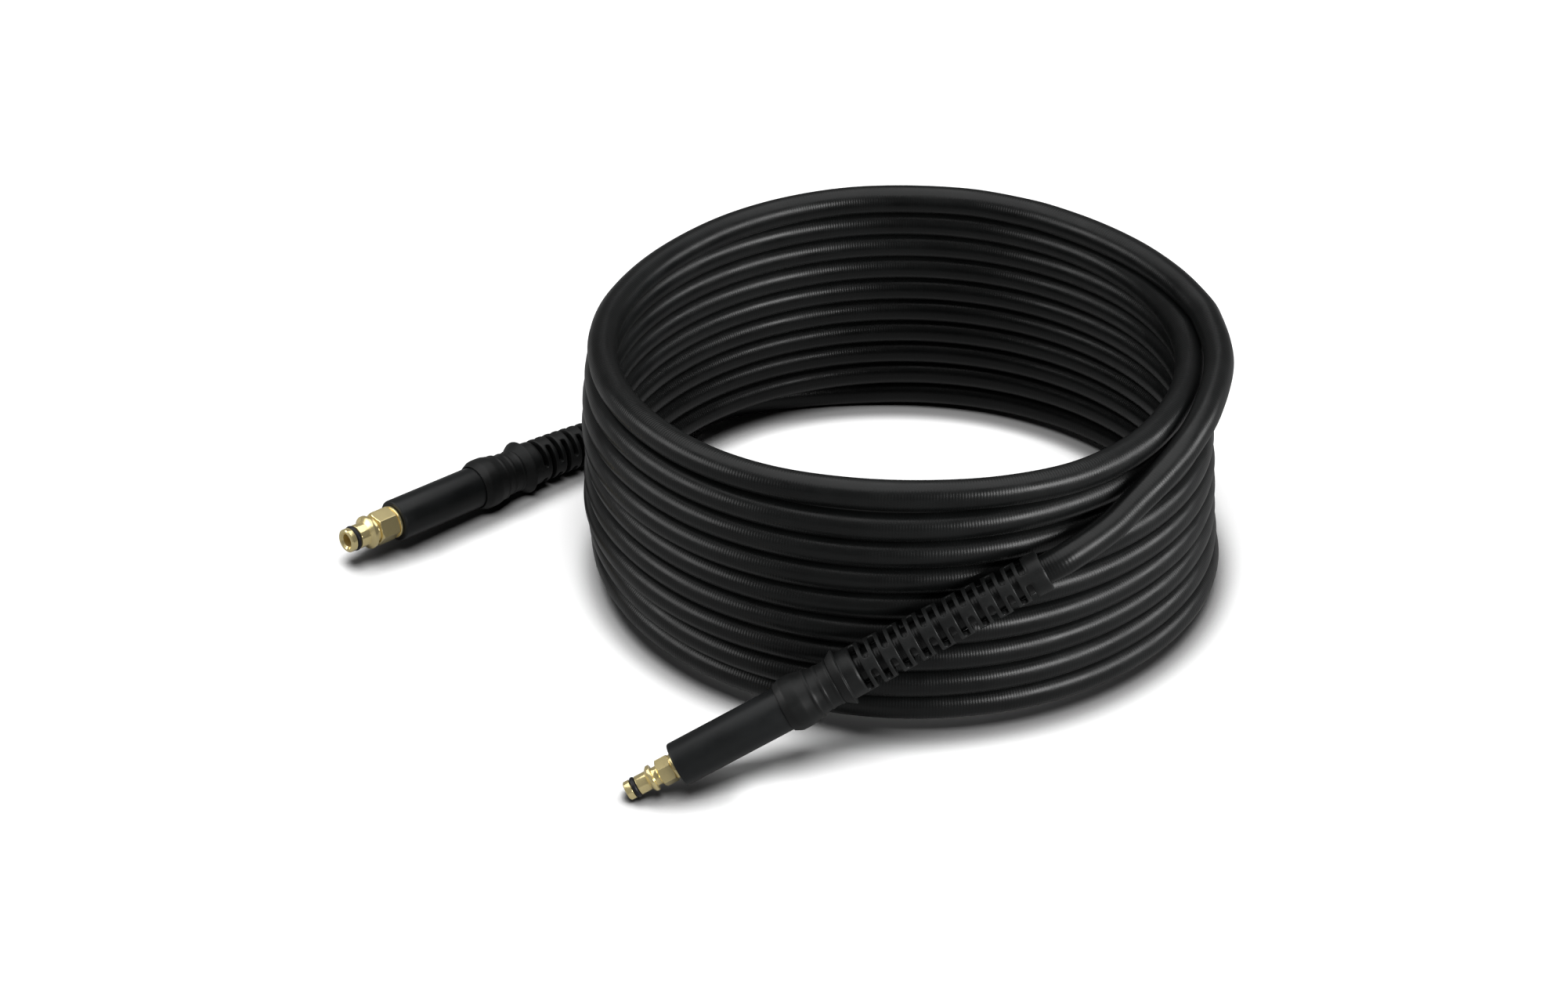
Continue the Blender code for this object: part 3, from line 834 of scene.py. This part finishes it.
def nipple_outline(sizes):
    """Closed outline of a nipple: nose, O-ring groove, barrel, flange, neck, hexagon, shoulder and shank."""
    corner = sizes["across_flats"] / 2 / math.cos(math.pi / 6)
    hexagon_end = HEXAGON_START + sizes["hexagon"]
    shoulder_end = hexagon_end + SHOULDER_LENGTH
    edge = EDGE_ROUND
    root = ROOT_ROUND
    chamfer_step = HEXAGON_CHAMFER_LENGTH / HEXAGON_CHAMFER_RINGS
    outer = [(0, sizes["nose"] - NOSE_CHAMFER), (NOSE_CHAMFER, sizes["nose"])]
    outer += round_corner(NOSE_LENGTH - edge, sizes["nose"] - edge, edge, 90, 0)
    outer += [(NOSE_LENGTH, sizes["groove"]), (GROOVE_END, sizes["groove"])]
    outer += round_corner(GROOVE_END + edge, sizes["barrel"] - edge, edge, 180, 90)
    outer += [(FLANGE_CONE_START, sizes["barrel"])]
    outer += [(FLANGE_RIM_START - edge, sizes["flange"] - edge)]
    outer += [(FLANGE_RIM_START + edge, sizes["flange"])]
    outer += round_corner(FLANGE_END - edge, sizes["flange"] - edge, edge, 90, 0)
    outer += round_corner(FLANGE_END + root, sizes["neck"] + root, root, 180, 270)
    outer += round_corner(HEXAGON_START - root, sizes["neck"] + root, root, 270, 360)
    outer += [(HEXAGON_START, corner * HEXAGON_STEP_SHARE)]
    outer += [(HEXAGON_START + chamfer_step * ring, corner) for ring in range(HEXAGON_CHAMFER_RINGS + 1)]
    outer += [(hexagon_end - chamfer_step * ring, corner) for ring in range(HEXAGON_CHAMFER_RINGS, -1, -1)]
    outer += [(hexagon_end, sizes["shoulder"] - edge)]
    outer += round_corner(hexagon_end + edge, sizes["shoulder"] - edge, edge, 180, 90)
    outer += round_corner(shoulder_end - edge, sizes["shoulder"] - edge, edge, 90, 0)
    outer += [(shoulder_end, SHANK_RADIUS), (SHANK_END, SHANK_RADIUS)]
    inner = [
        (SHANK_END, sizes["bore"]),
        (sizes["bore_chamfer"], sizes["bore"]),
        (0, sizes["bore"] + sizes["bore_chamfer"]),
    ]
    return outer + inner


def shape_hexagon(bm, sizes):
    """Draw the round stock between the hexagon's ends in to six flat sides with turned-off corners."""
    apothem = sizes["across_flats"] / 2
    hexagon_end = HEXAGON_START + sizes["hexagon"]
    stock = apothem * HEXAGON_STOCK_SHARE
    near = MERGE_DISTANCE * 10
    for vertex in bm.verts:
        reach = vertex.co.yz.length
        if not HEXAGON_START - near < vertex.co.x < hexagon_end + near or reach < stock:
            continue
        turn = math.atan2(vertex.co.z, vertex.co.y) - sizes["flat_turn"]
        off_flat = (turn + math.pi / 6) % (math.pi / 3) - math.pi / 6
        from_end = max(0.0, min(vertex.co.x - HEXAGON_START, hexagon_end - vertex.co.x))
        turned = apothem * HEXAGON_CHAMFER_FACE + from_end * HEXAGON_CHAMFER_SLOPE
        new_reach = min(apothem / math.cos(off_flat), turned)
        vertex.co.y *= new_reach / reach
        vertex.co.z *= new_reach / reach


def make_nipple(end, material):
    """The turned brass nipple, with its hexagon and its bore."""
    bm = spin_outline(nipple_outline(NIPPLES[end]), NIPPLE_SEGMENTS)
    shape_hexagon(bm, NIPPLES[end])
    unroll_along_axis(bm)
    name = f"{end}_brass_nipple"
    return finish_piece(name, bm, material, fitting_place(end), [f"{end}_nipple"], 24)


def make_seal(end, material):
    """The O-ring, seated in the middle of its groove."""
    sizes = NIPPLES[end]
    wire = sizes["seal_wire"]
    reach = sizes["groove"] + SEAL_STANDOFF + wire
    ring = round_corner(SEAL_MIDDLE, reach, wire, 0, 360, SEAL_SEGMENTS)[:-1]
    bm = spin_outline(ring, NIPPLE_SEGMENTS)
    name = f"{end}_rubber_seal"
    return finish_piece(name, bm, material, fitting_place(end), [f"{end}_o_ring"], 80)


def make_sleeve(end, material):
    """The smooth grip sleeve, open behind, with a lip that closes on the nipple's shank."""
    front = SLEEVE_FRONT_ROUND
    back = SLEEVE_BACK_ROUND
    mouth = HEXAGON_START + NIPPLES[end]["hexagon"] + SHOULDER_LENGTH + SLEEVE_GAP
    outline = [(mouth, SLEEVE_MOUTH_RADIUS)]
    outline += round_corner(mouth + front, SLEEVE_RADIUS - front, front, 180, 90, 6)
    outline += round_corner(SLEEVE_END - back, SLEEVE_RADIUS - back, back, 90, 0)
    outline += [(SLEEVE_END, SLEEVE_BORE_RADIUS)]
    outline += [(mouth + SLEEVE_LIP_LENGTH, SLEEVE_BORE_RADIUS)]
    outline += [(mouth + SLEEVE_LIP_LENGTH, SLEEVE_MOUTH_RADIUS)]
    bm = spin_outline(outline, SLEEVE_SEGMENTS)
    name = f"{end}_sleeve"
    return finish_piece(name, bm, material, fitting_place(end), [f"{end}_grip_sleeve"])


def slotted_radius(distance):
    """Outer radius of the tapered part of the bend protector, this far back from the nose."""
    share = (distance - TAPER_START) / (END_RING_START - TAPER_START)
    return TAPER_RADIUS + (END_RING_RADIUS - TAPER_RADIUS) * share


def slot_edges():
    """Front and back edge of each row of slots, measured back from the nose."""
    fronts = [FIRST_SLOT + SLOT_PITCH * row for row in range(SLOT_ROWS)]
    return [(front, front + SLOT_WIDTH) for front in fronts]


def slope_radius(distance):
    """Outer radius between the collar and the flare, this far back from the nose."""
    share = min(1.0, (distance - COLLAR_END) / (WAIST_START - COLLAR_END))
    return COLLAR_RADIUS + (WAIST_RADIUS - COLLAR_RADIUS) * share


def raised_ring(place):
    """The fine moulded ring that stands proud of the slope or the waist."""
    proud = slope_radius(place) + RAISED_RING_HEIGHT
    return [
        (place - RAISED_RING_FOOT, slope_radius(place - RAISED_RING_FOOT), 0.3),
        (place - RAISED_RING_HALF, proud, 0.3),
        (place + RAISED_RING_HALF, proud, 0.3),
        (place + RAISED_RING_FOOT, slope_radius(place + RAISED_RING_FOOT), 0.3),
    ]


def boot_outline():
    """The bend protector's outer and inner outline, as lists of (distance, radius, crease of the ring)."""
    outer = [
        (BOOT_FRONT, LEAD_RADIUS - 0.2 * MM, 0.6),
        (BOOT_FRONT + 0.25 * MM, LEAD_RADIUS, 0.6),
        (COLLAR_START - 0.5 * MM, COLLAR_RADIUS - 0.2 * MM, 0.2),
        (COLLAR_START + 0.3 * MM, COLLAR_RADIUS, 0.2),
        (COLLAR_END - 0.4 * MM, COLLAR_RADIUS, 0.2),
        (COLLAR_END + 0.5 * MM, COLLAR_RADIUS - 0.3 * MM, 0.2),
    ]
    for place in RAISED_RING_PLACES:
        outer += raised_ring(COLLAR_END + place - RAISED_RING_SHIFT)
    outer += [
        (FLARE_START + 0.3 * MM, WAIST_RADIUS, 0.2),
        (FLARE_END - 0.9 * MM, FLARE_RADIUS - 0.35 * MM, 0.1),
        (FLARE_END - 0.1 * MM, FLARE_RADIUS, 0.7),
        (FLARE_END + 0.15 * MM, FLARE_RADIUS - 0.25 * MM, 0.7),
        (TAPER_START, TAPER_RADIUS, 0.7),
        (TAPER_START + 1.0 * MM, slotted_radius(TAPER_START + 1.0 * MM), 0.0),
    ]
    edges = [edge for pair in slot_edges() for edge in pair]
    outer += [(x, slotted_radius(x), 0.0) for x in edges]
    outer += [
        (BOOT_END - 0.5 * MM, END_RING_RADIUS, 0.4),
        (BOOT_END, END_RING_RADIUS - 0.4 * MM, 0.4),
    ]
    inner = [
        (BOOT_FRONT, SOCKET_RADIUS, 0.8),
        (SOCKET_END, SOCKET_RADIUS, 0.8),
        (SOCKET_END + 0.1 * MM, BOOT_BORE_RADIUS, 0.8),
    ]
    inner += [(x, BOOT_BORE_RADIUS, 0.0) for x in edges]
    inner += [(BOOT_END, BOOT_BORE_RADIUS, 0.8)]
    return outer, inner


def crease_rings(bm, outline):
    """Give each ring of the outline its crease."""
    layer = bm.edges.layers.float.new("crease_edge")
    creases = {(round(x / MM, 3), round(radius / MM, 3)): crease for x, radius, crease in outline}
    for edge in bm.edges:
        keys = {(round(v.co.x / MM, 3), round(v.co.yz.length / MM, 3)) for v in edge.verts}
        if len(keys) == 1:
            edge[layer] = creases.get(keys.pop(), 0.0)
    return layer


def cut_slot(bm, layer, front, back, middle_turn):
    """Open one slot through the wall: take out both skins, join their edges and crease the rim."""
    half = math.pi * SLOT_SEGMENTS / BOOT_SEGMENTS
    opened = []
    for face in bm.faces:
        center = face.calc_center_median()
        turn = math.atan2(center.z, center.y)
        off_middle = (turn - middle_turn + math.pi) % math.tau - math.pi
        if front < center.x < back and abs(off_middle) < half:
            opened.append(face)
    inside = set(opened)
    rim = []
    for face in opened:
        for edge in face.edges:
            if any(other not in inside for other in edge.link_faces):
                rim.append(edge)
    bmesh.ops.delete(bm, geom=opened, context="FACES")
    for edge in rim:
        edge[layer] = RIM_CREASE
    bmesh.ops.bridge_loops(bm, edges=rim)


def make_boot(end, material):
    """The bend protector: socket and collar in front, then rows of slots that alternate by a quarter turn."""
    outer, inner = boot_outline()
    grown = [(x, radius / BOOT_ROUND_SHARE, crease) for x, radius, crease in outer + inner[::-1]]
    bm = spin_outline([(x, radius) for x, radius, crease in grown], BOOT_SEGMENTS)
    layer = crease_rings(bm, grown)
    for row, (front, back) in enumerate(slot_edges()):
        quarter = math.pi / 2 * (row % 2)
        for side in (0, math.pi):
            cut_slot(bm, layer, front, back, quarter + side)
    bmesh.ops.recalc_face_normals(bm, faces=bm.faces)
    place = fitting_place(end)
    for vertex in bm.verts:
        vertex.co = bend_aside(end, place, vertex.co)
    boot = finish_piece(f"{end}_boot", bm, material, place, [f"{end}_bend_protector"], 180)
    rounding = boot.modifiers.new("Moulded rounding", "SUBSURF")
    rounding.levels = SUBDIVISION_LEVELS
    rounding.render_levels = SUBDIVISION_LEVELS
    return boot


def add_area_light(name, place, target, size, brightness):
    """A soft light of this width and height that looks at a point."""
    data = bpy.data.lights.new(name, "AREA")
    data.shape = "RECTANGLE"
    data.size, data.size_y = size
    data.energy = brightness * math.pi * data.size * data.size_y
    light = bpy.data.objects.new(name, data)
    bpy.context.scene.collection.objects.link(light)
    light.location = place
    light.rotation_euler = (target - place).to_track_quat("-Z", "Y").to_euler()


def make_floor(stage):
    """The plain square floor, which is stage and no part of the hose."""
    bm = bmesh.new()
    bmesh.ops.create_grid(bm, x_segments=1, y_segments=1, size=stage.floor_size / 2)
    mesh = bpy.data.meshes.new("floor")
    bm.to_mesh(mesh)
    bm.free()
    mesh.materials.append(floor_white(stage))
    floor = bpy.data.objects.new("floor", mesh)
    bpy.context.scene.collection.objects.link(floor)
    return floor


def add_floor_light(floor, stage):
    """A light from above that falls on the floor alone, where everything else still casts its shadow."""
    data = bpy.data.lights.new("floor_light", "SUN")
    data.energy = stage.floor_light * math.pi
    data.angle = stage.floor_light_spread
    light = bpy.data.objects.new("floor_light", data)
    bpy.context.scene.collection.objects.link(light)
    light.rotation_euler = FLOOR_LIGHT_TURN
    lit = bpy.data.collections.new("lit_by_floor_light")
    lit.objects.link(floor)
    light.light_linking.receiver_collection = lit


def add_camera(axis, stage):
    """The camera, at the photograph's place and angle."""
    data = bpy.data.cameras.new("photo_camera")
    data.lens = data.sensor_width * stage.camera_reach / PHOTO_WIDTH
    camera = bpy.data.objects.new("photo_camera", data)
    bpy.context.scene.collection.objects.link(camera)
    camera.location = axis + Vector(stage.camera_place)
    camera.rotation_euler = (math.pi / 2 - stage.camera_pitch, 0, 0)
    return camera


class HOSE_OT_build_stage(bpy.types.Operator):
    """Add the floor, the lights, the room around and the camera"""

    bl_idname = "hose.build_stage"
    bl_label = "Stage"
    bl_options = {"REGISTER", "UNDO"}

    def execute(self, context):
        scene = context.scene
        stage = scene.hose_stage
        axis = coil_axis()
        floor = make_floor(stage)
        target = axis + Vector(LIGHT_TARGET)
        for name, place, size in SOFT_LIGHTS:
            add_area_light(name, axis + Vector(place), target, size, getattr(stage, name))
        add_floor_light(floor, stage)
        world = bpy.data.worlds.new("room")
        world.use_nodes = True
        world.node_tree.nodes["Background"].inputs["Color"].default_value = (1, 1, 1, 1)
        world.node_tree.nodes["Background"].inputs["Strength"].default_value = stage.surround
        scene.world = world
        scene.view_settings.view_transform = "Standard"
        scene.camera = add_camera(axis, stage)
        return {"FINISHED"}


class HOSE_OT_mould_boots(bpy.types.Operator):
    """Mould the two slotted bend protectors"""

    bl_idname = "hose.mould_boots"
    bl_label = "Bend protectors"
    bl_options = {"REGISTER", "UNDO"}

    def execute(self, context):
        material = boot_plastic()
        for end in ENDS:
            make_boot(end, material)
        return {"FINISHED"}


class HOSE_OT_mould_sleeves(bpy.types.Operator):
    """Mould the two smooth grip sleeves"""

    bl_idname = "hose.mould_sleeves"
    bl_label = "Grip sleeves"
    bl_options = {"REGISTER", "UNDO"}

    def execute(self, context):
        material = grip_plastic()
        for end in ENDS:
            make_sleeve(end, material)
        return {"FINISHED"}


class HOSE_OT_turn_nipples(bpy.types.Operator):
    """Turn the two brass plug-in nipples"""

    bl_idname = "hose.turn_nipples"
    bl_label = "Brass nipples"
    bl_options = {"REGISTER", "UNDO"}

    def execute(self, context):
        material = turned_brass()
        for end in ENDS:
            make_nipple(end, material)
        return {"FINISHED"}


class HOSE_OT_seat_seals(bpy.types.Operator):
    """Seat an O-ring in the groove of each nipple"""

    bl_idname = "hose.seat_seals"
    bl_label = "O-rings"
    bl_options = {"REGISTER", "UNDO"}

    def execute(self, context):
        material = seal_rubber()
        for end in ENDS:
            make_seal(end, material)
        return {"FINISHED"}


class HOSE_OT_lay_hose(bpy.types.Operator):
    """Lay the hose in its coil, from the rear fitting to the front one"""

    bl_idname = "hose.lay_hose"
    bl_label = "Hose"
    bl_options = {"REGISTER", "UNDO"}

    def execute(self, context):
        hose, line = make_hose(hose_rubber())
        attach(hose, BODY)
        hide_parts("hose_coil", "hose_tail_front", "hose_tail_rear")
        return {"FINISHED"}


STEPS = (
    HOSE_OT_build_stage,
    HOSE_OT_mould_boots,
    HOSE_OT_mould_sleeves,
    HOSE_OT_turn_nipples,
    HOSE_OT_seat_seals,
    HOSE_OT_lay_hose,
)
GROUPS = {"hose_settings": HoseSettings, "hose_fittings": FittingSettings, "hose_stage": StageSettings}


class HOSE_PT_builder(bpy.types.Panel):
    """Panel that lists the steps and the sizes of the hose"""

    bl_idname = "HOSE_PT_builder"
    bl_label = "Pressure Washer Hose"
    bl_space_type = "VIEW_3D"
    bl_region_type = "UI"
    bl_category = "Hose"

    def draw(self, context):
        for step in STEPS:
            self.layout.operator(step.bl_idname)
        for group in GROUPS:
            settings = getattr(context.scene, group)
            box = self.layout.box()
            for name in settings.__annotations__:
                box.prop(settings, name)


def register():
    for group, settings in GROUPS.items():
        bpy.utils.register_class(settings)
        setattr(bpy.types.Scene, group, bpy.props.PointerProperty(type=settings))
    for kind in (*STEPS, HOSE_PT_builder):
        bpy.utils.register_class(kind)


def unregister():
    for kind in (HOSE_PT_builder, *reversed(STEPS)):
        bpy.utils.unregister_class(kind)
    for group, settings in GROUPS.items():
        delattr(bpy.types.Scene, group)
        bpy.utils.unregister_class(settings)


def main():
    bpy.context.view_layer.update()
    register()
    bpy.ops.hose.build_stage()
    bpy.ops.hose.mould_boots()
    bpy.ops.hose.mould_sleeves()
    bpy.ops.hose.turn_nipples()
    bpy.ops.hose.seat_seals()
    bpy.ops.hose.lay_hose()


if __name__ == "__main__":
    main()
